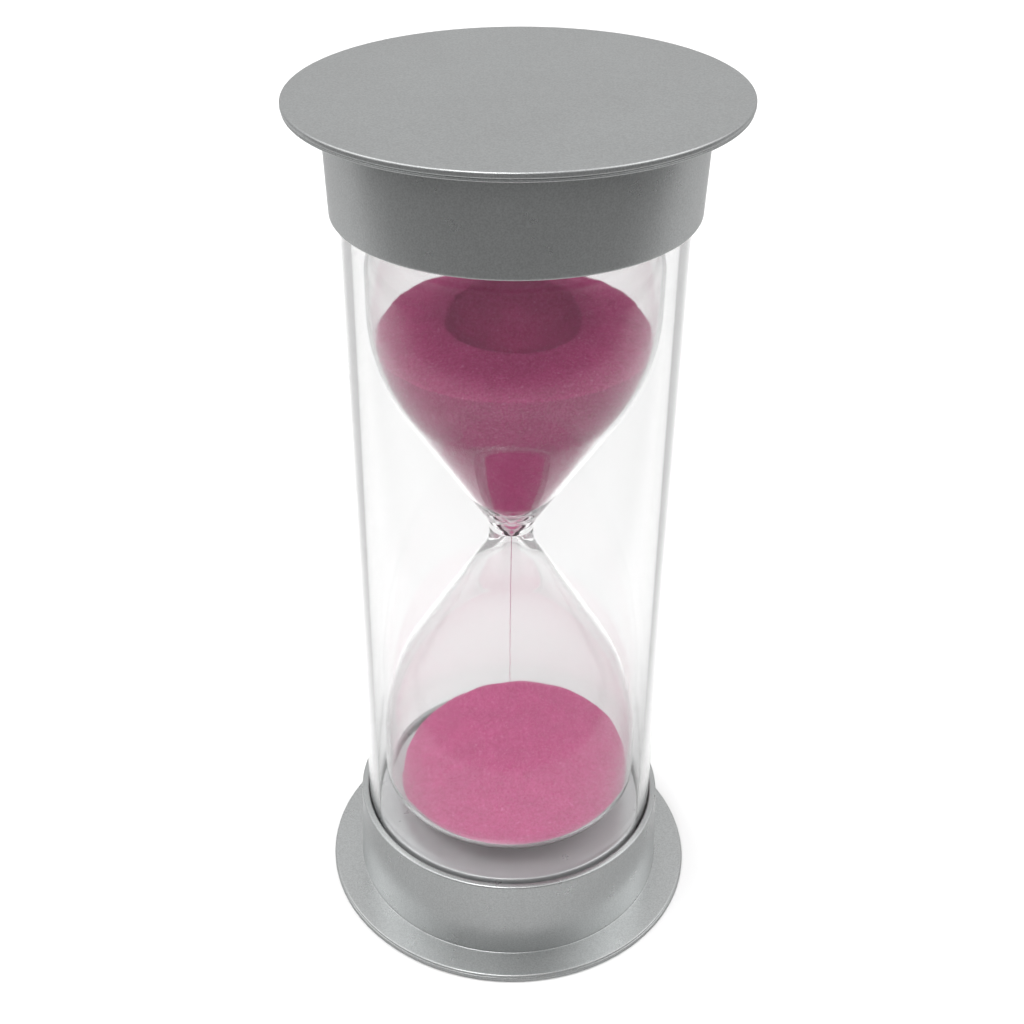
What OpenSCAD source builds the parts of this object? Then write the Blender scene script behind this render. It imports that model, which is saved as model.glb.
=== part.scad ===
// Sand timer: a blown-glass double bulb of sand, held in a clear tube between two silver caps.
// Millimetres, +Z up, origin at the centre of the face that it stands on.
// The lower and upper caps, end plates and cushions are mirror images of each other.

/* [Overall] */
// Height of the whole timer, end plate to end plate
overall_h = 160; // [156:1:164]
// Diameter of the end plates
plate_d = 72.5; // [70:0.5:78]

/* [Caps] */
// Thickness of an end plate
plate_t = 1; // [0.9:0.1:1.8]
// Thickness of the flange that the end plate is bonded to
flange_t = 0.5; // [0.4:0.1:1]
// How much smaller across the flange is than its end plate
flange_inset = 0.3; // [0:0.1:1]
// Height of a cap, from the outer face of its end plate to the rim of its collar
cap_h = 18.5; // [16:0.1:20]
// Diameter of the collar where it meets the flange
collar_base_d = 60.8; // [60:0.2:63]
// Diameter of the collar at its rim
collar_rim_d = 59.6; // [59:0.2:60]
// Thickness of the cap's inner walls
skin_t = 1.4; // [1:0.1:1.6]
// How far the bulb's seat lies below the collar's rim
seat_drop = 0.4; // [0.2:0.1:1]
// Depth of the groove that the tube stands in
socket_depth = 12; // [8:0.5:12]
// Diameter of the hole through the bulb's seat
seat_hole_d = 16; // [14:0.5:18]

/* [Clear tube] */
// Outer diameter of the tube
tube_d = 56.6; // [56.2:0.1:57]
// Wall thickness of the tube
tube_wall = 1.8; // [1.5:0.1:2]

/* [Glass bulb] */
// Outer diameter of both chambers
bulb_d = 49.4; // [48:0.2:51]
// Wall thickness of the chambers
glass_t = 0.7; // [0.6:0.1:1.5]
// Outer diameter of the neck
neck_d = 8.2; // [7:0.2:9]
// Diameter of the hole through the neck
orifice_d = 1.2; // [1:0.1:1.6]
// Radius of the blend between the neck and the outer cone
neck_blend = 7.5; // [6:0.5:9]
// Radius of the blend between the orifice and the inner cone
orifice_blend = 3; // [2:0.5:4]
// Half angle of the outer cone
cone_angle = 32; // [31:0.5:33]
// Half angle of the inner cone, which thickens the glass towards the neck
inner_cone_angle = 35; // [33.5:0.5:35]
// Radius of the shoulder between a cone and its cylinder
shoulder_round = 37; // [34:1:38]
// Radius of the edge of a chamber's closed end
end_round = 9; // [8:0.5:10]
// Outer diameter of the filling spout
spout_d = 10; // [9:0.5:12]
// Height of the filling spout
spout_h = 5; // [4:0.5:6]

/* [Cushions and stopper] */
// Thickness of a cushion ring
cushion_t = 1; // [0.8:0.1:1.5]
// Outer diameter of a cushion ring
cushion_d = 29; // [26:0.5:30]
// Inner diameter of a cushion ring
cushion_hole_d = 14; // [13:0.5:16]
// Depth of the stopper's plug inside the spout
stopper_plug_h = 5; // [3:0.5:6]
// Thickness of the stopper's head
stopper_head_h = 2; // [1:0.5:3]

/* [Sand] */
// Height of the upper sand's edge above the neck
upper_level = 39.5; // [36:0.5:42]
// Diameter of the crater in the upper sand
crater_d = 22.8; // [16:0.2:26]
// Depth of the crater below its lip
crater_depth = 6.6; // [3:0.2:8]
// How far the crater's lip stands above the sand's edge
lip_rise = 2.2; // [0:0.2:3]
// Depth of the lower sand at the middle of its chamber
lower_depth = 4.7; // [4:0.1:8]
// Slope of the lower sand
lower_slope = 5.5; // [0:0.5:6]
// Direction that the lower sand rises in, counted from +X towards +Y
slope_heading = 20; // [0:5:355]
// Diameter of the small mound under the falling sand
mound_d = 9; // [6:0.5:12]
// Height of that mound
mound_h = 0.8; // [0.4:0.1:1.2]
// Diameter of the thread of falling sand
stream_d = 0.5; // [0.4:0.1:0.8]

/* [Hidden] */
$fn = 96;

// Rounding of the end plates' and collars' edges
edge_round = 0.35;
// Clearance on each side of the tube in its groove
socket_gap = 0.15;
// Clearance between the sand and the glass
sand_gap = 0.05;
// Clearance between the stopper's plug and the spout
plug_gap = 0.02;
// Number of straight steps in a blend, and in the larger shoulder
blend_steps = 8;
shoulder_steps = 14;

mid_z = overall_h / 2;
seat_z = cap_h - seat_drop;
flange_z = plate_t + flange_t;
groove_floor_z = cap_h - socket_depth;
groove_out_r = tube_d / 2 + socket_gap;
groove_in_r = tube_d / 2 - tube_wall - socket_gap;
bulb_end_z = seat_z + cushion_t;
spout_r = spout_d / 2;
spout_hole_r = spout_r - glass_t;
inner_r = bulb_d / 2 - glass_t;
inner_end_z = bulb_end_z + glass_t;
inner_end_round = end_round - glass_t;
lower_level = inner_end_z + lower_depth;
mound_crater_r = mound_d / 7;
mound_crater_h = mound_h / 2;

silver = [0.66, 0.67, 0.68];
clear = [0.90, 0.92, 0.93, 0.25];
glass = [0.88, 0.91, 0.92, 0.35];
pink = [0.80, 0.42, 0.60];
foam = [0.92, 0.92, 0.90];
rubber = [0.20, 0.20, 0.21];

// Points of an arc about (centre_r, centre_z), from one angle to another
function arc(centre_r, centre_z, radius, from, to, steps) =
    [for (i = [0:steps])
        let (a = from + (to - from) * i / steps)
        [centre_r + radius * cos(a), centre_z + radius * sin(a)]];

function reversed(points) = [for (i = [len(points) - 1:-1:0]) points[i]];

// The same points on the other side of the neck: every height h becomes -h
function flipped(points) = [for (p = points) [p[0], -p[1]]];

// Heights above the neck turned into heights above the floor
function from_neck(points) = [for (p = points) [p[0], p[1] + mid_z]];

// One chamber's wall from the neck to its cylinder, in [radius, height above the neck]:
// a blend out of the neck, a straight cone, and a shoulder that ends vertical
function chamber_wall(neck_r, blend, angle, shoulder, full_r) =
    let (cone_r = neck_r + blend * (1 - cos(angle)),
         cone_h = blend * sin(angle),
         shoulder_r = full_r - shoulder * (1 - cos(angle)),
         shoulder_h = cone_h + (shoulder_r - cone_r) / tan(angle))
    concat(arc(neck_r + blend, 0, blend, 180, 180 - angle, blend_steps),
           arc(full_r - shoulder, shoulder_h + shoulder * sin(angle), shoulder, -angle, 0, shoulder_steps));

// A chamber's closed end, in [radius, height above the floor], from the cylinder inwards
function chamber_end(full_r, end_z, end_r) =
    arc(full_r - end_r, end_z + end_r, end_r, 0, -90, blend_steps);

function outer_wall() = chamber_wall(neck_d / 2, neck_blend, cone_angle, shoulder_round, bulb_d / 2);

// The inner wall, set in from the glass by gap
function inner_wall(gap) =
    chamber_wall(orifice_d / 2 - gap, orifice_blend, inner_cone_angle, shoulder_round - glass_t, inner_r - gap);

function upside_down(points) = [for (p = points) [p[0], overall_h - p[1]]];

// Turns a lower piece into the matching upper one
module at_top() {
    translate([0, 0, overall_h]) mirror([0, 0, 1]) children();
}

module end_plate() {
    color(silver)
    rotate_extrude()
    polygon(concat([[0, 0]],
                   arc(plate_d / 2 - edge_round, edge_round, edge_round, -90, 0, blend_steps),
                   arc(plate_d / 2 - edge_round, plate_t - edge_round, edge_round, 0, 90, blend_steps),
                   [[0, plate_t]]));
}

// A hat-shaped moulding: flange, drafted collar, groove for the tube and seat for the bulb
module cap() {
    flange_r = (plate_d - flange_inset) / 2;
    flange_round = flange_t / 2;
    base_r = collar_base_d / 2;
    rim_r = collar_rim_d / 2;
    hole_r = seat_hole_d / 2;
    color(silver)
    rotate_extrude()
    polygon(concat(
        arc(flange_r - flange_round, plate_t + flange_round, flange_round, -90, 90, blend_steps),
        [[base_r, flange_z]],
        arc(rim_r - edge_round, cap_h - edge_round, edge_round, 0, 90, blend_steps),
        arc(groove_out_r + edge_round, cap_h - edge_round, edge_round, 90, 180, blend_steps),
        [[groove_out_r, groove_floor_z],
         [groove_in_r, groove_floor_z]],
        arc(groove_in_r - edge_round, seat_z - edge_round, edge_round, 0, 90, blend_steps),
        [[hole_r, seat_z],
         [hole_r, seat_z - skin_t],
         [groove_in_r - skin_t, seat_z - skin_t],
         [groove_in_r - skin_t, groove_floor_z - skin_t],
         [base_r - skin_t, groove_floor_z - skin_t],
         [base_r - skin_t, plate_t]]));
}

module cushion() {
    color(foam)
    translate([0, 0, seat_z])
    difference() {
        cylinder(d = cushion_d, h = cushion_t);
        translate([0, 0, -1]) cylinder(d = cushion_hole_d, h = cushion_t + 2);
    }
}

module lower_end_plate() {
    end_plate();
}

module lower_cap() {
    cap();
}

module lower_cushion() {
    cushion();
}

module upper_cushion() {
    at_top() cushion();
}

module upper_cap() {
    at_top() cap();
}

module upper_end_plate() {
    at_top() end_plate();
}

module clear_tube() {
    tube_h = overall_h - 2 * groove_floor_z;
    color(clear)
    translate([0, 0, groove_floor_z])
    difference() {
        cylinder(d = tube_d, h = tube_h);
        translate([0, 0, -1]) cylinder(d = tube_d - 2 * tube_wall, h = tube_h + 2);
    }
}

// One blown piece: both chambers, the neck between them and the spout that it was filled through
module glass_bulb() {
    spout_top_z = overall_h - bulb_end_z + spout_h;
    outer_end = chamber_end(bulb_d / 2, bulb_end_z, end_round);
    inner_end = chamber_end(inner_r, inner_end_z, inner_end_round);
    color(glass)
    rotate_extrude()
    polygon(concat(
        [[0, bulb_end_z]],
        reversed(outer_end),
        from_neck(flipped(reversed(outer_wall()))),
        from_neck([for (i = [1:len(outer_wall()) - 1]) outer_wall()[i]]),
        upside_down(outer_end),
        [[spout_r, overall_h - bulb_end_z],
         [spout_r, spout_top_z],
         [spout_hole_r, spout_top_z],
         [spout_hole_r, overall_h - inner_end_z]],
        upside_down(reversed(inner_end)),
        from_neck(reversed(inner_wall(0))),
        from_neck(flipped([for (i = [1:len(inner_wall(0)) - 1]) inner_wall(0)[i]])),
        inner_end,
        [[0, inner_end_z]]));
}

module fill_stopper() {
    spout_top_z = overall_h - bulb_end_z + spout_h;
    color(rubber) {
        translate([0, 0, spout_top_z - stopper_plug_h])
        cylinder(r = spout_hole_r - plug_gap, h = stopper_plug_h);
        translate([0, 0, spout_top_z]) cylinder(r = spout_r, h = stopper_head_h);
    }
}

// Sand that still has to run: it fills the upper chamber's cone, with a crater over the neck
module upper_sand() {
    crater_r = crater_d / 2;
    edge_z = mid_z + upper_level;
    lip_z = edge_z + lip_rise;
    color(pink)
    rotate_extrude()
    intersection() {
        polygon(concat([[0, mid_z]],
                       from_neck(inner_wall(sand_gap)),
                       [[inner_r - sand_gap, overall_h - inner_end_z - inner_end_round],
                        [0, overall_h - inner_end_z - inner_end_round]]));
        polygon([[0, mid_z],
                 [bulb_d, mid_z],
                 [bulb_d, edge_z],
                 [inner_r, edge_z],
                 [crater_r, lip_z],
                 [0, lip_z - crater_depth]]);
    }
}

// The thread of sand between the neck and the small crater that it makes below
module falling_sand() {
    end_z = lower_level + mound_h;
    color(pink)
    translate([0, 0, end_z]) cylinder(d = stream_d, h = mid_z - end_z);
}

// Sand that has run: a shallow sloping layer with a low mound at its centre
module lower_sand() {
    fill_r = inner_r - sand_gap;
    floor_z = inner_end_z + sand_gap;
    color(pink)
    intersection() {
        rotate_extrude()
        polygon(concat([[0, mid_z], [fill_r, mid_z]],
                       chamber_end(fill_r, floor_z, inner_end_round),
                       [[0, floor_z]]));
        union() {
            translate([0, 0, lower_level])
            rotate([0, 0, slope_heading])
            rotate([0, -lower_slope, 0])
            translate([-bulb_d / 2, -bulb_d / 2, -bulb_d]) cube(bulb_d);
            translate([0, 0, lower_level])
            rotate_extrude()
            polygon([[0, -mound_h],
                     [mound_d / 2, -mound_h],
                     [mound_crater_r, mound_h],
                     [0, mound_crater_h]]);
        }
    }
}

lower_end_plate();
lower_cap();
lower_cushion();
clear_tube();
glass_bulb();
fill_stopper();
upper_sand();
falling_sand();
lower_sand();
upper_cushion();
upper_cap();
upper_end_plate();
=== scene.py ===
"""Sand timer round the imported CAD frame: two silver caps, a clear tube, a glass double bulb and pink sand."""
import math
import random

import bmesh
import bpy
from mathutils import Matrix, Vector, noise


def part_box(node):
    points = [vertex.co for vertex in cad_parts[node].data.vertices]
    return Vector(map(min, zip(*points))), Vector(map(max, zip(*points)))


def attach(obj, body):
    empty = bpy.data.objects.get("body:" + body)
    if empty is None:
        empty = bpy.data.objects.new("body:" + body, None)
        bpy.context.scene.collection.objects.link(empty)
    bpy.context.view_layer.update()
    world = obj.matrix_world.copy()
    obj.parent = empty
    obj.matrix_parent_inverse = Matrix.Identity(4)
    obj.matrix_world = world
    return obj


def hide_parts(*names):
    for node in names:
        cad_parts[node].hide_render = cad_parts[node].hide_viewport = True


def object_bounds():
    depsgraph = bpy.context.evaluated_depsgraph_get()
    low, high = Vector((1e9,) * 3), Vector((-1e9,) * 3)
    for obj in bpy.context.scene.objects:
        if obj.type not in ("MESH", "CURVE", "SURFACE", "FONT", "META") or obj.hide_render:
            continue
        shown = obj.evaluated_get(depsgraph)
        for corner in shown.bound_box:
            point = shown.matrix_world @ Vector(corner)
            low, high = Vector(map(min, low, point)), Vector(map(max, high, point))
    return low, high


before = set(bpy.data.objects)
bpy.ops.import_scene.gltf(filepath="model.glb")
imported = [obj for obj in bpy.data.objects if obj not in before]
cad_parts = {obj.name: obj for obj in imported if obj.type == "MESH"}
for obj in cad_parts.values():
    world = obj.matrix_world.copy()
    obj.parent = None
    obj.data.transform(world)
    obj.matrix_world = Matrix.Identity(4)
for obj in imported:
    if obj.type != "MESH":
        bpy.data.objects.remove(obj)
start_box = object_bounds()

MM = 0.001
BODY = "root"


# ---------------------------------------------------------------- sizes, from the frame

def span(node):
    """A turned node's radius, lowest and highest height."""
    low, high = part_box(node)
    return high.x, low.z, high.z


HEIGHT = start_box[1].z
MID = HEIGHT / 2
PLATE_R, _, PLATE_TOP = span("lower_end_plate")
FLANGE_R, _, CAP_H = span("lower_cap")
CUSHION_R, SEAT_Z, BULB_END = span("lower_cushion")
TUBE_R, TUBE_FOOT, TUBE_HEAD = span("clear_tube")
BULB_R, _, SPOUT_TOP = span("glass_bulb")
STOPPER_R, STOPPER_LOW, STOPPER_TOP = span("fill_stopper")
STREAM_R, STREAM_FOOT, STREAM_TOP = span("falling_sand")

# Caps and plates.
FLANGE_T = 0.5 * MM
COLLAR_BASE_R = 30.4 * MM
COLLAR_RIM_R = 29.8 * MM
CAP_SKIN = 1.4 * MM
SEAT_HOLE_R = 8 * MM
EDGE = 0.35 * MM
FILLET = 0.15 * MM
SOCKET_GAP = 0.15 * MM
BARE_R = TUBE_R - 0.3 * MM
CUSHION_HOLE_R = 7 * MM

# Tube, bulb and stopper.
TUBE_WALL = 1.8 * MM
TUBE_EASE = 0.15 * MM
GLASS_T = 0.7 * MM
END_ROUND = 9 * MM
SPOUT_R = 5 * MM
NECK_R = 4.1 * MM
ORIFICE_R = 0.6 * MM
NECK_BLEND = 7.5 * MM
CONE = math.radians(32)
SHOULDER = 37 * MM
THROAT_H = 9.5 * MM
INNER_R = BULB_R - GLASS_T
INNER_END = BULB_END + GLASS_T
INNER_ROUND = END_ROUND - GLASS_T
SAND_GAP = 0.05 * MM
STOPPER_FIT = 0.02 * MM

# Unevenness left from blowing: rings at the neck, and a slow swirl that fades towards the ends.
RING_DEPTH = 0.05 * MM
RING_PITCH = 1.4 * MM
RING_MIDDLE = 2.0 * MM
RING_REACH = 2.4 * MM
SWIRL = 0.05 * MM
SWIRL_PITCH = 14 * MM
SWIRL_FADE = 12 * MM

# Points round a turned piece.
AROUND = 256
AROUND_SAND = 360
AROUND_RING = 128
AROUND_STOPPER = 96

AXIS = 1e-9


# ---------------------------------------------------------------- turned meshes

def arc(centre_r, centre_z, radius, start, stop, steps):
    """Points of an arc in (radius, height), angles in degrees."""
    points = []
    for i in range(steps + 1):
        a = math.radians(start + (stop - start) * i / steps)
        points.append((centre_r + radius * math.cos(a), centre_z + radius * math.sin(a)))
    return points


def supported(outline, margin=0.25 * MM):
    """The outline with a point near each end of its long straight runs, to keep the shading flat there."""
    points = []
    for i, (r0, z0) in enumerate(outline):
        points.append((r0, z0))
        r1, z1 = outline[(i + 1) % len(outline)]
        length = math.hypot(r1 - r0, z1 - z0)
        if length > 4 * margin and not (r0 < AXIS and r1 < AXIS):
            for t in (margin / length, 1 - margin / length):
                points.append((r0 + (r1 - r0) * t, z0 + (z1 - z0) * t))
    return points


def turned(name, outline, around=AROUND, shape=None, sharp=40):
    """A closed solid of revolution. shape(point, angle) gives a point's radius and height at that angle."""
    shape = shape or (lambda point, angle: point)
    closed = outline[0][0] > AXIS or outline[-1][0] > AXIS
    verts, rings = [], []
    for point in outline:
        on_axis = point[0] < AXIS
        ring = []
        for j in range(1 if on_axis else around):
            angle = 2 * math.pi * j / around
            r, z = shape(point, angle)
            ring.append(len(verts))
            verts.append((r * math.cos(angle), r * math.sin(angle), z))
        rings.append(ring)
    faces = []
    following = rings[1:] + rings[:1] if closed else rings[1:]
    for a, b in zip(rings, following):
        if len(a) == 1 and len(b) == 1:
            continue
        for j in range(around):
            k = (j + 1) % around
            corners = [a[j % len(a)], a[k % len(a)], b[k % len(b)], b[j % len(b)]]
            faces.append(list(dict.fromkeys(corners)))
    mesh = bpy.data.meshes.new(name)
    mesh.from_pydata(verts, [], faces)
    mesh.update()
    return finished(name, mesh, sharp)


def finished(name, mesh, sharp=40):
    """An object from the mesh, with its normals outwards and smooth shading between soft edges."""
    bm = bmesh.new()
    bm.from_mesh(mesh)
    bmesh.ops.recalc_face_normals(bm, faces=bm.faces)
    bm.to_mesh(mesh)
    bm.free()
    mesh.shade_smooth()
    mesh.set_sharp_from_angle(angle=math.radians(sharp))
    obj = bpy.data.objects.new(name, mesh)
    bpy.context.scene.collection.objects.link(obj)
    return obj


def place(obj, node, material):
    """The piece stands for its CAD node, in the node's material slot, and rides on the object's one body."""
    obj.data.materials.clear()
    obj.data.materials.append(material)
    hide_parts(node)
    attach(obj, BODY)
    return obj


def flipped(outline):
    """The same outline upside down, as the upper cap, plate and cushion lie."""
    return [(r, HEIGHT - z) for r, z in outline]


# ---------------------------------------------------------------- materials

def maths(tree, operation, a, b=0.0):
    """A math node on two sockets or numbers."""
    node = tree.nodes.new("ShaderNodeMath")
    node.operation = operation
    for socket, value in zip(node.inputs, (a, b)):
        if isinstance(value, bpy.types.NodeSocket):
            tree.links.new(value, socket)
        else:
            socket.default_value = value
    return node.outputs["Value"]


def graded(tree, value, start, end):
    """A number that goes smoothly between start and end, each given as (value, number)."""
    node = tree.nodes.new("ShaderNodeMapRange")
    node.interpolation_type = "SMOOTHSTEP"
    tree.links.new(value, node.inputs["Value"])
    node.inputs["From Min"].default_value, node.inputs["To Min"].default_value = start
    node.inputs["From Max"].default_value, node.inputs["To Max"].default_value = end
    return node.outputs["Result"]


class Shader:
    """A node material with one Principled shader, and short ways to add to it."""

    def __init__(self, name, **constants):
        self.material = bpy.data.materials.new(name)
        self.material.use_nodes = True
        self.tree = self.material.node_tree
        self.tree.nodes.clear()
        self.out = self.tree.nodes.new("ShaderNodeOutputMaterial")
        self.surface = self.tree.nodes.new("ShaderNodeBsdfPrincipled")
        self.link(self.surface.outputs["BSDF"], self.out.inputs["Surface"])
        self.coords = self.tree.nodes.new("ShaderNodeTexCoord").outputs["Object"]
        for socket, value in constants.items():
            self.set(socket.replace("_", " "), value)

    def set(self, socket, value):
        self.surface.inputs[socket].default_value = value

    def link(self, a, b):
        self.tree.links.new(a, b)

    def stretched(self, scale):
        """Object coordinates with each axis scaled."""
        node = self.tree.nodes.new("ShaderNodeMapping")
        node.inputs["Scale"].default_value = scale
        self.link(self.coords, node.inputs["Vector"])
        return node.outputs["Vector"]

    def reach(self, vector):
        """Length of a vector socket."""
        node = self.tree.nodes.new("ShaderNodeVectorMath")
        node.operation = "LENGTH"
        self.link(vector, node.inputs[0])
        return node.outputs["Value"]

    def noise(self, size, detail=2.0, rough=0.5, coords=None):
        """Noise from 0 to 1 whose features are about size metres across."""
        node = self.tree.nodes.new("ShaderNodeTexNoise")
        node.inputs["Scale"].default_value = 1 / size
        node.inputs["Detail"].default_value = detail
        node.inputs["Roughness"].default_value = rough
        self.link(coords or self.coords, node.inputs["Vector"])
        return node.outputs["Fac"]

    def cells(self, size, output="Color"):
        """Voronoi cells about size metres across."""
        node = self.tree.nodes.new("ShaderNodeTexVoronoi")
        node.inputs["Scale"].default_value = 1 / size
        self.link(self.coords, node.inputs["Vector"])
        return node.outputs[output]

    def ramp(self, value, *stops):
        """value through a colour ramp; stops are (position, grey or colour)."""
        node = self.tree.nodes.new("ShaderNodeValToRGB")
        elements = node.color_ramp.elements
        while len(elements) < len(stops):
            elements.new(0.5)
        for element, (position, colour) in zip(elements, stops):
            element.position = position
            rgb = (colour,) * 3 if isinstance(colour, float) else tuple(colour)
            element.color = rgb + (1,)
        self.link(value, node.inputs["Fac"])
        return node.outputs["Color"]

    def mix(self, amount, a, b, mode="MIX"):
        """Colours or sockets a and b mixed by amount, a number or a socket."""
        node = self.tree.nodes.new("ShaderNodeMix")
        node.data_type = "RGBA"
        node.blend_type = mode
        for socket, value in ((node.inputs[0], amount), (node.inputs[6], a), (node.inputs[7], b)):
            if isinstance(value, bpy.types.NodeSocket):
                self.link(value, socket)
            elif isinstance(value, (int, float)):
                socket.default_value = value
            else:
                socket.default_value = tuple(value) + (1,)
        return node.outputs[2]

    def bump(self, height, distance, strength=1.0):
        """Adds a bump of that height in metres, on top of any before it."""
        node = self.tree.nodes.new("ShaderNodeBump")
        node.inputs["Distance"].default_value = distance
        node.inputs["Strength"].default_value = strength
        self.link(height, node.inputs["Height"])
        normal = self.surface.inputs["Normal"]
        if normal.is_linked:
            self.link(normal.links[0].from_socket, node.inputs["Normal"])
        self.link(node.outputs["Normal"], normal)

    def lets_lamps_through(self, tint):
        """Lets shadow rays and bounced light go straight through, so that the inside is evenly lit."""
        clear = self.tree.nodes.new("ShaderNodeBsdfTransparent")
        clear.inputs["Color"].default_value = tuple(tint) + (1,)
        path = self.tree.nodes.new("ShaderNodeLightPath").outputs
        either = maths(self.tree, "MAXIMUM", path["Is Shadow Ray"], path["Is Diffuse Ray"])
        mix = self.tree.nodes.new("ShaderNodeMixShader")
        self.link(either, mix.inputs["Fac"])
        self.link(self.surface.outputs["BSDF"], mix.inputs[1])
        self.link(clear.outputs["BSDF"], mix.inputs[2])
        self.link(mix.outputs["Shader"], self.out.inputs["Surface"])


PAINT_GREY = 0.60
PAINT_METAL = 0.88
BARE_METAL = 0.55
FLAKE = 0.28 * MM
GRAIN = 0.28 * MM


def silver_paint(name, roughness, bare_r=None):
    """Satin silver lacquer on moulded plastic: fine flake, a little orange peel, faint cloudiness and a few
    scuffs. Nearer to the axis than bare_r the pale plastic is left bare."""
    s = Shader(name, Metallic=PAINT_METAL)
    flake = s.ramp(s.noise(FLAKE, 1.0), (0.3, PAINT_GREY * 0.90), (0.7, PAINT_GREY * 1.10))
    cloud = s.ramp(s.noise(14 * MM, 3.0), (0.3, (0.945, 0.965, 0.965)), (0.7, (0.975, 1.0, 1.0)))
    scuff = s.ramp(s.noise(2.2 * MM, 4.0, 0.7, s.stretched((1.0, 1.0, 0.35))),
                   (0.0, 0.6), (0.205, 0.88), (0.22, 1.0))
    paint = s.mix(1.0, s.mix(1.0, flake, cloud, "MULTIPLY"), scuff, "MULTIPLY")
    if bare_r:
        masked = 0.1 * MM
        painted = graded(s.tree, s.reach(s.stretched((1.0, 1.0, 0.0))),
                         (bare_r - masked, 0.0), (bare_r + masked, 1.0))
        bare = s.ramp(s.noise(7 * MM, 3.0), (0.3, (0.60, 0.60, 0.61)), (0.7, (0.66, 0.66, 0.67)))
        paint = s.mix(painted, bare, paint)
        s.link(s.ramp(painted, (0.0, BARE_METAL), (1.0, PAINT_METAL)), s.surface.inputs["Metallic"])
    s.link(paint, s.surface.inputs["Base Color"])
    rough = s.ramp(s.noise(6 * MM, 4.0, 0.6), (0.3, roughness * 0.92), (0.7, roughness * 1.1))
    s.link(rough, s.surface.inputs["Roughness"])
    s.bump(s.noise(0.9 * MM, 2.0), 0.006 * MM)
    s.bump(s.noise(0.14 * MM, 1.0), 0.003 * MM)
    return s.material


def clear_acrylic():
    """The tube: clear, with faint smudges where it has been handled."""
    s = Shader("clear_acrylic", Transmission_Weight=1.0, IOR=1.49)
    s.link(s.ramp(s.noise(20 * MM, 2.0), (0.0, (0.98, 0.982, 0.982)), (1.0, (0.99, 0.99, 0.99))),
           s.surface.inputs["Base Color"])
    smudge = s.ramp(s.noise(9 * MM, 5.0, 0.6, s.stretched((1.0, 1.0, 0.4))),
                    (0.5, 0.0), (0.85, 0.05))
    s.link(smudge, s.surface.inputs["Roughness"])
    s.lets_lamps_through((0.96, 0.965, 0.965))
    return s.material


def blown_glass():
    """The bulb: clear soda glass, a little hazy from the sand's dust."""
    s = Shader("blown_glass", Transmission_Weight=1.0, IOR=1.5)
    s.link(s.ramp(s.noise(15 * MM, 2.0), (0.0, (0.985, 0.995, 0.99)), (1.0, (0.99, 0.995, 0.995))),
           s.surface.inputs["Base Color"])
    s.link(s.ramp(s.noise(5 * MM, 4.0), (0.4, 0.04), (0.8, 0.08)), s.surface.inputs["Roughness"])
    s.lets_lamps_through((0.96, 0.97, 0.965))
    return s.material


def pink_sand():
    """Dyed sand: each grain has its own shade, with a few pale and a few dark ones."""
    s = Shader("pink_sand", Specular_IOR_Level=0.15)
    shade = s.cells(GRAIN)
    grain = s.ramp(shade, (0.1, (0.38, 0.044, 0.145)), (0.5, (0.46, 0.066, 0.195)),
                   (0.88, (0.51, 0.088, 0.235)), (1.0, (0.62, 0.20, 0.36)))
    cloud = s.ramp(s.noise(5 * MM, 3.0), (0.3, 0.9), (0.7, 1.0))
    s.link(s.mix(1.0, grain, cloud, "MULTIPLY"), s.surface.inputs["Base Color"])
    s.link(s.ramp(shade, (0.0, 0.8), (0.9, 0.95), (1.0, 0.55)), s.surface.inputs["Roughness"])
    s.bump(s.cells(GRAIN, "Distance"), 0.05 * MM, 0.6)
    s.bump(s.noise(1.1 * MM, 3.0), 0.08 * MM, 0.5)
    return s.material


def white_foam():
    """Open-cell foam of the cushion rings, with painted shade in its pores."""
    s = Shader("white_foam", Specular_IOR_Level=0.2)
    pores = s.cells(0.5 * MM, "Distance")
    # Painted shade: the pits of the pores are coloured darker than the pale foam.
    s.link(s.ramp(pores, (0.0, (0.45, 0.45, 0.42)), (0.35, (0.78, 0.78, 0.75))),
           s.surface.inputs["Base Color"])
    s.link(s.ramp(s.noise(1.0 * MM), (0.3, 0.85), (0.7, 0.98)), s.surface.inputs["Roughness"])
    s.bump(pores, 0.15 * MM)
    return s.material


def black_rubber():
    """The stopper: matt moulded rubber with a bloom of dust."""
    s = Shader("black_rubber", Specular_IOR_Level=0.35)
    s.link(s.ramp(s.noise(1.5 * MM, 4.0), (0.3, 0.025), (0.7, 0.05)), s.surface.inputs["Base Color"])
    s.link(s.ramp(s.noise(0.8 * MM, 3.0), (0.3, 0.6), (0.7, 0.85)), s.surface.inputs["Roughness"])
    s.bump(s.noise(0.3 * MM, 2.0), 0.02 * MM)
    return s.material


# ---------------------------------------------------------------- caps, plates and cushions

def plate_outline():
    return supported([(0, 0)]
                     + arc(PLATE_R - EDGE, EDGE, EDGE, -90, 0, 8)
                     + arc(PLATE_R - EDGE, PLATE_TOP - EDGE, EDGE, 0, 90, 8)
                     + [(0, PLATE_TOP)])


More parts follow.
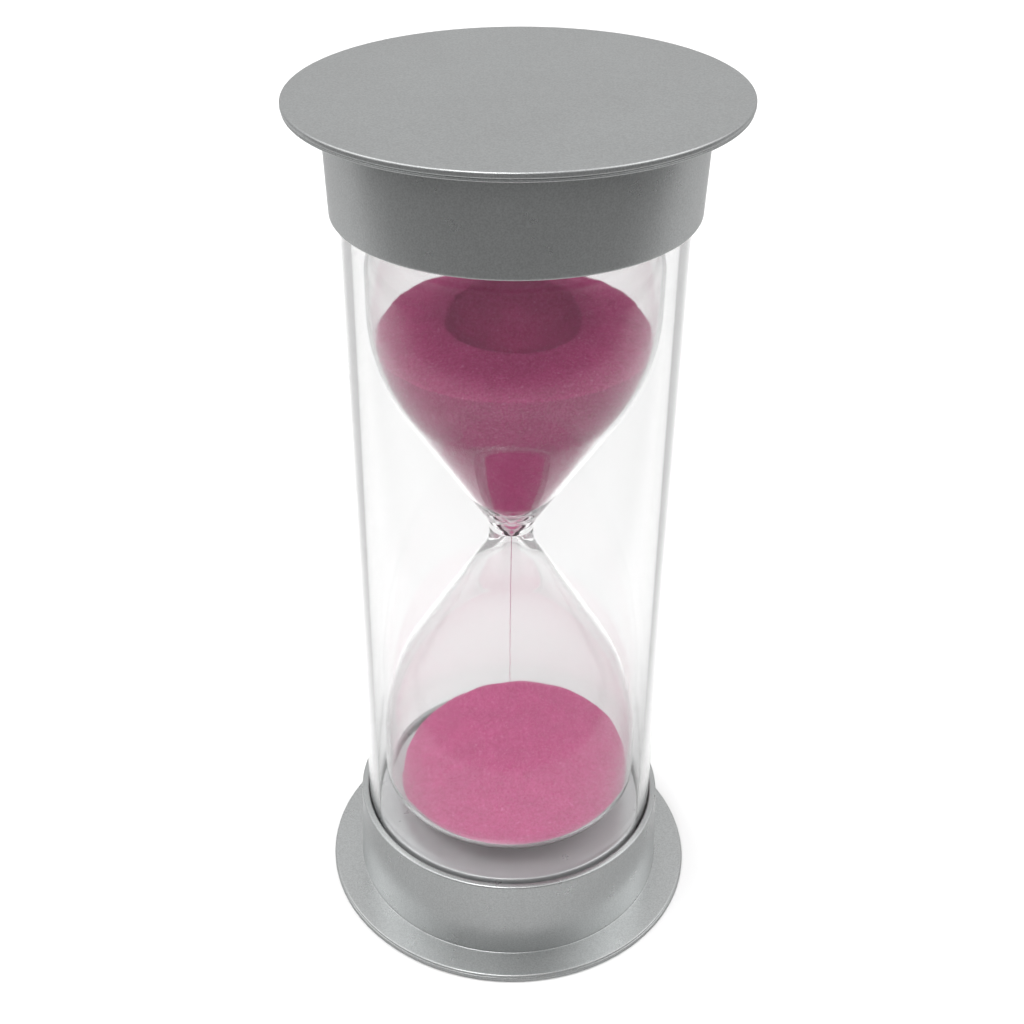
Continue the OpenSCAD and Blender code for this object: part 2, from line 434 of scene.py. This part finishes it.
def cap_outline():
    """Flange, fillet, drafted collar, groove for the tube and seat for the bulb."""
    flange_z = PLATE_TOP + FLANGE_T
    half = FLANGE_T / 2
    draft = math.degrees(math.atan2(COLLAR_BASE_R - COLLAR_RIM_R, CAP_H - flange_z))
    groove_out = TUBE_R + SOCKET_GAP
    groove_in = TUBE_R - TUBE_WALL - SOCKET_GAP
    foot = TUBE_FOOT - CAP_SKIN
    return supported(
        arc(FLANGE_R - half, PLATE_TOP + half, half, -90, 90, 12)
        + arc(COLLAR_BASE_R + FILLET, flange_z + FILLET, FILLET, -90, -180 - draft, 6)
        + arc(COLLAR_RIM_R - EDGE, CAP_H - EDGE, EDGE, draft, 90, 8)
        + arc(groove_out + EDGE, CAP_H - EDGE, EDGE, 90, 180, 8)
        + [(groove_out, TUBE_FOOT), (groove_in, TUBE_FOOT)]
        + arc(groove_in - EDGE, SEAT_Z - EDGE, EDGE, 0, 90, 8)
        + [(SEAT_HOLE_R, SEAT_Z), (SEAT_HOLE_R, SEAT_Z - CAP_SKIN),
           (groove_in - CAP_SKIN, SEAT_Z - CAP_SKIN), (groove_in - CAP_SKIN, foot),
           (COLLAR_BASE_R - CAP_SKIN, foot), (COLLAR_BASE_R - CAP_SKIN, PLATE_TOP)])


def cushion_outline():
    """A foam ring with squeezed, bulging sides."""
    half = (BULB_END - SEAT_Z) / 2
    middle = SEAT_Z + half
    return supported(arc(CUSHION_R - half, middle, half, -90, 90, 8)
                     + arc(CUSHION_HOLE_R + half, middle, half, 90, 270, 8))


def make_caps():
    plate_paint = silver_paint("silver_plate_paint", 0.31)
    cap_paint = silver_paint("silver_cap_paint", 0.29, BARE_R)
    foam = white_foam()
    for end, turn in (("lower", lambda outline: outline), ("upper", flipped)):
        place(turned(end + "_plate", turn(plate_outline())), end + "_end_plate", plate_paint)
        place(turned(end + "_collar", turn(cap_outline())), end + "_cap", cap_paint)
        ring = place(turned(end + "_foam_ring", turn(cushion_outline()), AROUND_RING), end + "_cushion", foam)


# ---------------------------------------------------------------- tube, bulb and stopper

def make_tube():
    """The clear tube, its cut ends slightly eased."""
    outer = TUBE_R - TUBE_EASE
    inner = TUBE_R - TUBE_WALL + TUBE_EASE
    foot = TUBE_FOOT + TUBE_EASE
    head = TUBE_HEAD - TUBE_EASE
    outline = supported(arc(outer, foot, TUBE_EASE, -90, 0, 4)
                        + arc(outer, head, TUBE_EASE, 0, 90, 4)
                        + arc(inner, head, TUBE_EASE, 90, 180, 4)
                        + arc(inner, foot, TUBE_EASE, 180, 270, 4))
    return place(turned("tube", outline), "clear_tube", clear_acrylic())


def chamber_wall(neck_r, blend, cone, shoulder, full_r, steps=20):
    """One chamber's wall from the neck to its cylinder, in (radius, height above the neck)."""
    cone_r = neck_r + blend * (1 - math.cos(cone))
    cone_h = blend * math.sin(cone)
    shoulder_r = full_r - shoulder * (1 - math.cos(cone))
    shoulder_h = cone_h + (shoulder_r - cone_r) / math.tan(cone)
    angle = math.degrees(cone)
    start = arc(neck_r + blend, 0, blend, 180, 180 - angle, steps)
    end = arc(full_r - shoulder, shoulder_h + shoulder * math.sin(cone), shoulder, -angle, 0, steps)
    straight = [(start[-1][0] + (end[0][0] - start[-1][0]) * i / steps,
                 start[-1][1] + (end[0][1] - start[-1][1]) * i / steps) for i in range(1, steps)]
    return start + straight + end


def inner_wall(gap=0.0):
    """The chambers' inner wall, or a surface set in from it by gap: it runs along the outside down to the
    throat, where the glass gathers and the wall draws in to the hole through the neck."""
    inset = GLASS_T + gap
    even = chamber_wall(NECK_R - inset, NECK_BLEND + inset, CONE, SHOULDER - inset, BULB_R - inset, 24)
    wall = []
    for r, h in even:
        drawn_in = (NECK_R - GLASS_T - ORIFICE_R) * max(0.0, 1 - h / THROAT_H) ** 2
        wall.append((r - drawn_in, h))
    return wall


def from_neck(points, up=1):
    return [(r, MID + up * h) for r, h in points]


def make_bulb():
    """Both chambers, the neck and the filling spout, as one blown piece with a slightly uneven outside."""
    outer = chamber_wall(NECK_R, NECK_BLEND, CONE, SHOULDER, BULB_R)
    inner = inner_wall()
    outer_end = arc(BULB_R - END_ROUND, BULB_END + END_ROUND, END_ROUND, 0, -90, 24)
    inner_end = arc(INNER_R - INNER_ROUND, INNER_END + INNER_ROUND, INNER_ROUND, 0, -90, 24)
    bore = SPOUT_R - GLASS_T
    lip = GLASS_T / 2
    outside = (outer_end[::-1] + from_neck(outer, -1)[::-1] + from_neck(outer)[1:] + flipped(outer_end))
    outline = ([(0, BULB_END)] + outside
               + [(SPOUT_R, HEIGHT - BULB_END)] + arc(SPOUT_R - lip, SPOUT_TOP - lip, lip, 0, 180, 10)
               + [(bore, HEIGHT - INNER_END)]
               + flipped(inner_end)[::-1] + from_neck(inner)[::-1] + from_neck(inner, -1)[1:] + inner_end
               + [(0, INNER_END)])
    outer_points = set(outside)

    def uneven(point, angle):
        r, z = point
        if point not in outer_points:
            return point
        h = abs(z - MID)
        near = math.exp(-(((z - MID - RING_MIDDLE) / RING_REACH) ** 2))
        rings = RING_DEPTH * near * (math.sin(2 * math.pi * (z - MID) / RING_PITCH) - 1)
        swirl = SWIRL * (noise.noise(Vector((math.cos(angle), math.sin(angle), z / SWIRL_PITCH))) - 1)
        fade = min(1.0, max(0.0, (HEIGHT / 2 - BULB_END - h) / SWIRL_FADE))
        return r + swirl * fade + rings, z

    return place(turned("bulb", outline, AROUND, uneven), "glass_bulb", blown_glass())


def make_stopper():
    """A rubber stopper: tapered plug, rounded head."""
    plug_r = SPOUT_R - GLASS_T - STOPPER_FIT
    taper, lead = 0.3 * MM, 1.5 * MM
    edge = 0.5 * MM
    outline = supported([(0, STOPPER_LOW), (plug_r - taper, STOPPER_LOW), (plug_r, STOPPER_LOW + lead),
                         (plug_r, SPOUT_TOP + 0.01 * MM)]
                        + arc(STOPPER_R - edge, SPOUT_TOP + edge, edge, -90, 0, 6)
                        + arc(STOPPER_R - edge, STOPPER_TOP - edge, edge, 0, 90, 6)
                        + [(0, STOPPER_TOP)])
    return place(turned("stopper", outline, AROUND_STOPPER), "fill_stopper", black_rubber())


# ---------------------------------------------------------------- sand

UPPER_EDGE = MID + 39.5 * MM
CRATER_R = 11.4 * MM
CRATER_DEPTH = 6.6 * MM
LIP_RISE = 2.2 * MM
BACK_RISE = 2.0 * MM
FRONT_DROP = 0.6 * MM
CRATER_BACK = 0.4
LOWER_LEVEL = INNER_END + 4.7 * MM
LOWER_SLOPE = math.tan(math.radians(5.5))
SLOPE_HEADING = math.radians(20)
MOUND_R = 4.5 * MM
MOUND_H = 0.8 * MM
GRAIN_R = 0.09 * MM
DENT = 0.05 * MM
DENT_TURN = 40
LOWER_DENT = 0.02 * MM


def grains(x, y, z, size, amount, seed=0.0):
    """A small height that varies over about size metres."""
    return amount * noise.noise(Vector((x / size + seed, y / size - seed, z / size)))


def soft_min(a, b, blend):
    """The lower of a and b, rounded where they cross."""
    h = max(0.0, min(1.0, 0.5 + (b - a) / (2 * blend)))
    return b * (1 - h) + a * h - blend * h * (1 - h)


def upper_surface(r, angle):
    """Height of the sand still to run: a slope up to the crater's lip, and the crater."""
    x, y = r * math.cos(angle), r * math.sin(angle)
    wobble = 0.05 * noise.noise(Vector((math.cos(angle), math.sin(angle), 3.1)))
    crater_r = CRATER_R * (1 + wobble + CRATER_BACK * max(0.0, math.sin(angle)) ** 2)
    slope = LIP_RISE * (INNER_R - r) / (INNER_R - crater_r)
    crater = LIP_RISE - CRATER_DEPTH * (crater_r - r) / crater_r
    back = (1 + math.sin(angle)) / 2
    tilt = r / INNER_R * (BACK_RISE * back ** 2 - FRONT_DROP * (1 - back) ** 2)
    height = soft_min(slope, crater, 0.35 * MM) + tilt
    return (UPPER_EDGE + height
            + grains(x, y, 0, 4 * MM, 0.25 * MM) + grains(x, y, 0, 0.7 * MM, 0.06 * MM, 5.3))


def heap(name, keys, place_of, sand, node):
    """A sand solid from (away, key) pairs, where away is 0 for a point on the axis and 1 for a ring.
    place_of(key, angle) gives the radius and height there."""
    table = {(float(away), float(i)): key for i, (away, key) in enumerate(keys)}

    def shape(point, angle):
        return place_of(table[point], angle)

    return place(turned(name, list(table), AROUND_SAND, shape, 75), node, sand)


def wall_radius(points, z):
    """Radius of a wall given as (radius, height) points in rising order, at height z."""
    for (r0, z0), (r1, z1) in zip(points, points[1:]):
        if z <= z1:
            return r0 + (r1 - r0) * (z - z0) / (z1 - z0) if z1 > z0 else r1
    return points[-1][0]


def make_upper_sand(sand):
    """Sides along the glass, then rings from the glass to the middle of the crater."""
    wall = from_neck(inner_wall(SAND_GAP))
    sides = 130
    rings = 120
    keys = [(0, ("foot", 0.0))]
    keys += [(1, ("side", i / sides)) for i in range(sides + 1)]
    keys += [(1, ("top", i / rings)) for i in range(1, rings)]
    keys += [(0, ("top", 1.0))]

    def place_of(key, angle):
        kind, t = key
        if kind == "foot":
            return 0.0, MID
        edge_z = upper_surface(INNER_R - SAND_GAP, angle)
        if kind == "side":
            z = MID + (edge_z - MID) * t
            about = Vector((math.cos(angle) * DENT_TURN, math.sin(angle) * DENT_TURN, z / MM))
            return wall_radius(wall, z) - DENT * t * (0.5 + 0.5 * noise.noise(about)), z
        r = wall_radius(wall, edge_z) * (1 - t) - DENT * (1 - t)
        return r, upper_surface(r, angle)

    return heap("upper_sand_heap", keys, place_of, sand, "upper_sand")


def lower_surface(r, angle):
    """Height of the sand that has run: a sloping layer, low ripples and the small mound with its crater."""
    x, y = r * math.cos(angle), r * math.sin(angle)
    slope = LOWER_SLOPE * r * math.cos(angle - SLOPE_HEADING)
    mound = MOUND_H * max(0.0, 1 - r / MOUND_R) ** 1.5
    dip = 0.55 * MM * math.exp(-((r / (0.9 * MM)) ** 2))
    return (LOWER_LEVEL + slope + mound - dip
            + grains(x, y, 0, 5 * MM, 0.22 * MM, 9.1) + grains(x, y, 0, 0.7 * MM, 0.05 * MM, 2.7))


def make_lower_sand(sand):
    """Bottom along the glass, up its rounded corner to the surface, then rings to the middle."""
    full_r = INNER_R - SAND_GAP
    floor_z = INNER_END + SAND_GAP
    wall = arc(full_r - INNER_ROUND, floor_z + INNER_ROUND, INNER_ROUND, -90, 0, 40) + [(full_r, MID)]
    sides, rings, floors = 24, 130, 12
    keys = [(0, ("floor", 0.0))]
    keys += [(1, ("floor", i / floors)) for i in range(1, floors)]
    keys += [(1, ("side", i / sides)) for i in range(sides + 1)]
    keys += [(1, ("top", i / rings)) for i in range(1, rings)]
    keys += [(0, ("top", 1.0))]

    def rim(angle):
        z = LOWER_LEVEL
        for _ in range(4):
            z = lower_surface(wall_radius(wall, z), angle)
        return z

    rims = {}

    def place_of(key, angle):
        kind, t = key
        if kind == "floor":
            return (full_r - INNER_ROUND) * t, floor_z
        if angle not in rims:
            rims[angle] = rim(angle)
        edge_z = rims[angle]
        if kind == "side":
            z = floor_z + (edge_z - floor_z) * t * t
            return wall_radius(wall, z) - (0.0 if t < 1 else LOWER_DENT), z
        r = (wall_radius(wall, edge_z) - LOWER_DENT) * (1 - t)
        return r, lower_surface(r, angle)

    return heap("lower_sand_layer", keys, place_of, sand, "lower_sand")


def make_stream(sand):
    """The falling thread: loose grains with gaps between them, spread wider as they fall."""
    chance = random.Random(7)
    bm = bmesh.new()
    bmesh.ops.create_icosphere(bm, subdivisions=1, radius=1.0)
    verts = [v.co.copy() for v in bm.verts]
    faces = [[v.index for v in f.verts] for f in bm.faces]
    bm.free()
    points, polygons = [], []
    z = STREAM_TOP - GRAIN_R
    while z > STREAM_FOOT + GRAIN_R:
        fallen = (STREAM_TOP - z) / (STREAM_TOP - STREAM_FOOT)
        size = GRAIN_R * chance.uniform(0.7, 1.0)
        reach = (STREAM_R - size) * (0.35 + 0.65 * fallen) * math.sqrt(chance.random())
        angle = chance.uniform(0, 2 * math.pi)
        centre = Vector((reach * math.cos(angle), reach * math.sin(angle), z))
        polygons += [[len(points) + i for i in face] for face in faces]
        points += [centre + size * v * chance.uniform(0.8, 1.0) for v in verts]
        z -= GRAIN_R * chance.uniform(0.6, 1.6) * (1.0 + 1.2 * fallen)
    mesh = bpy.data.meshes.new("sand_thread")
    mesh.from_pydata(points, [], polygons)
    mesh.update()
    return place(finished("sand_thread", mesh, 75), "falling_sand", sand)


# ---------------------------------------------------------------- camera, light and floor

# Angles down, to the right and round the view, in radians.
CAMERA_ANGLES = (0.57231, -0.05543, -0.01844)
CAMERA_LENS = 52.51
CAMERA_SHIFT = 0.06842
CAMERA_AWAY = 227.10 * MM
CAMERA_HIGH = 229.56 * MM

# The room in reflections: its brightness in front, behind, overhead and to the sides.
ROOM_FRONT = 0.16
ROOM_BACK = 0.46
ROOM_TOP = 1.9
ROOM_SIDES = 2.8

# The floor's painted shade, seen in reflections and bounced light: a sheet that runs to the back and greys
# towards a darker room in front of it; through the glass the floor is painted a little darker (GLASS_VIEW).
FLOOR_SIZE = 3.0
FLOOR_DROP = 0.05 * MM
SHEET_BACK = 1.0
SHEET_EDGE = 0.05
SHEET_SHADE = 0.38
SHEET_BOUNCE = 0.6
ROOM_EDGE = 0.42
ROOM_SHADE = 0.09
GLASS_VIEW = 0.8

LIGHT_BOUNCES = 48
CLEAR_BOUNCES = 32


def make_camera():
    """A close camera, a little above the timer's top and turned slightly to its left."""
    down, turn, roll = CAMERA_ANGLES
    forward = Vector((math.sin(turn) * math.cos(down), math.cos(turn) * math.cos(down), -math.sin(down)))
    level = Vector((math.cos(turn), -math.sin(turn), 0))
    above = level.cross(forward)
    right = math.cos(roll) * level + math.sin(roll) * above
    up = -math.sin(roll) * level + math.cos(roll) * above
    data = bpy.data.cameras.new("camera")
    data.sensor_width = 36
    data.lens = CAMERA_LENS
    data.shift_x = CAMERA_SHIFT
    data.clip_start = 0.01
    camera = bpy.data.objects.new("camera", data)
    camera.matrix_world = Matrix((
        (right.x, up.x, -forward.x, 0),
        (right.y, up.y, -forward.y, -CAMERA_AWAY),
        (right.z, up.z, -forward.z, CAMERA_HIGH),
        (0, 0, 0, 1)))
    bpy.context.scene.collection.objects.link(camera)
    bpy.context.scene.camera = camera


def make_floor():
    """A plain pale floor. In reflections and bounced light its colour carries painted shade: a sheet that greys
    towards a dimmer room in front. Through the glass its colour is painted a little darker."""
    size = FLOOR_SIZE
    mesh = bpy.data.meshes.new("floor")
    mesh.from_pydata([(-size, -size, 0), (size, -size, 0), (size, size, 0), (-size, size, 0)],
                     [], [(0, 1, 2, 3)])
    floor = bpy.data.objects.new("floor", mesh)
    bpy.context.scene.collection.objects.link(floor)
    floor.location.z = -FLOOR_DROP
    s = Shader("floor_paper", Roughness=0.9, Specular_IOR_Level=0.1)
    tree = s.tree
    split = tree.nodes.new("ShaderNodeSeparateXYZ")
    s.link(s.coords, split.inputs["Vector"])
    ahead = maths(tree, "SUBTRACT", s.reach(s.coords), split.outputs["Y"])
    # Painted shade: the floor's colour falls from SHEET_BACK to a grey sheet and a dark room in front, seen
    # only by reflected and bounced rays.
    sheet = graded(tree, ahead, (0.0, SHEET_BACK), (SHEET_EDGE, SHEET_SHADE))
    room = maths(tree, "MINIMUM", sheet, graded(tree, ahead, (SHEET_EDGE, 1.0), (ROOM_EDGE, ROOM_SHADE)))
    path = tree.nodes.new("ShaderNodeLightPath").outputs
    bounced = maths(tree, "MULTIPLY", path["Diffuse Depth"], SHEET_BOUNCE)
    mirrored = maths(tree, "MINIMUM", maths(tree, "ADD", path["Glossy Depth"], bounced), 1.0)
    plain = s.ramp(s.noise(0.2, 2.0), (0.3, 0.88), (0.7, 0.90))
    # Painted shade: seen through the glass the floor's colour is multiplied by GLASS_VIEW, darker than it is.
    entered = maths(tree, "MINIMUM", path["Transmission Depth"], 1.0)
    glossed = maths(tree, "MINIMUM", path["Glossy Depth"], 1.0)
    through = maths(tree, "MAXIMUM", maths(tree, "SUBTRACT", entered, glossed), 0.0)
    dimmed = s.ramp(through, (0.0, 1.0), (1.0, GLASS_VIEW))
    s.link(s.mix(1.0, s.mix(mirrored, plain, room), dimmed, "MULTIPLY"), s.surface.inputs["Base Color"])
    mesh.materials.append(s.material)


def make_lamp(name, place_at, size, power, glossy=False):
    """A soft square lamp that looks at the middle of the timer. Unless glossy, nothing mirrors it."""
    data = bpy.data.lights.new(name, "AREA")
    data.shape = "SQUARE"
    data.size = size
    data.energy = power
    lamp = bpy.data.objects.new(name, data)
    lamp.location = place_at
    lamp.rotation_euler = (Vector((0, 0, MID)) - lamp.location).to_track_quat("-Z", "Y").to_euler()
    lamp.visible_glossy = glossy
    lamp.visible_transmission = glossy
    bpy.context.scene.collection.objects.link(lamp)


def make_world():
    """A pale room in reflections and for light, brighter behind, overhead and at the sides than in front. The
    camera sees plain white, straight or through glass."""
    world = bpy.data.worlds.new("studio")
    world.use_nodes = True
    tree = world.node_tree
    tree.nodes.clear()
    out = tree.nodes.new("ShaderNodeOutputWorld")
    split = tree.nodes.new("ShaderNodeSeparateXYZ")
    tree.links.new(tree.nodes.new("ShaderNodeTexCoord").outputs["Generated"], split.inputs["Vector"])
    x, y, z = split.outputs
    behind = graded(tree, y, (-0.8, ROOM_FRONT), (0.5, ROOM_BACK))
    above = graded(tree, z, (0.5, 1.0), (0.9, ROOM_TOP))
    sideways = maths(tree, "MULTIPLY", maths(tree, "ABSOLUTE", x), z)
    beside = graded(tree, sideways, (0.25, 1.0), (0.48, ROOM_SIDES))
    room = maths(tree, "MULTIPLY", maths(tree, "MULTIPLY", behind, above), beside)
    path = tree.nodes.new("ShaderNodeLightPath").outputs
    bounces = maths(tree, "ADD", path["Glossy Depth"], path["Diffuse Depth"])
    straight = maths(tree, "SUBTRACT", path["Is Transmission Ray"], maths(tree, "MINIMUM", bounces, 1.0))
    seen = maths(tree, "MAXIMUM", path["Is Camera Ray"], straight)
    strength = tree.nodes.new("ShaderNodeMix")
    tree.links.new(seen, strength.inputs[0])
    tree.links.new(room, strength.inputs[2])
    strength.inputs[3].default_value = 1.0
    sky = tree.nodes.new("ShaderNodeBackground")
    tree.links.new(strength.outputs[0], sky.inputs["Strength"])
    sky.inputs["Color"].default_value = (1, 1, 1, 1)
    tree.links.new(sky.outputs["Background"], out.inputs["Surface"])
    bpy.context.scene.world = world


def make_stage():
    make_floor()
    make_world()
    make_lamp("key_lamp", (-0.24, -0.32, 1.60), 0.56, 5.6, glossy=True)
    make_lamp("left_lamp", (-1.05, 0.30, 1.00), 1.1, 8.2)
    make_lamp("right_lamp", (1.05, 0.30, 1.00), 1.1, 8.2)
    make_lamp("front_lamp", (-0.16, -1.25, 0.95), 0.8, 11.0)
    scene = bpy.context.scene
    scene.view_settings.view_transform = "Standard"
    scene.cycles.max_bounces = LIGHT_BOUNCES
    scene.cycles.glossy_bounces = LIGHT_BOUNCES
    scene.cycles.transmission_bounces = LIGHT_BOUNCES
    scene.cycles.transparent_max_bounces = CLEAR_BOUNCES
    scene.cycles.caustics_refractive = False
    scene.cycles.caustics_reflective = False


make_camera()
make_caps()
make_tube()
make_bulb()
make_stopper()
SAND = pink_sand()
make_upper_sand(SAND)
make_stream(SAND)
make_lower_sand(SAND)
make_stage()
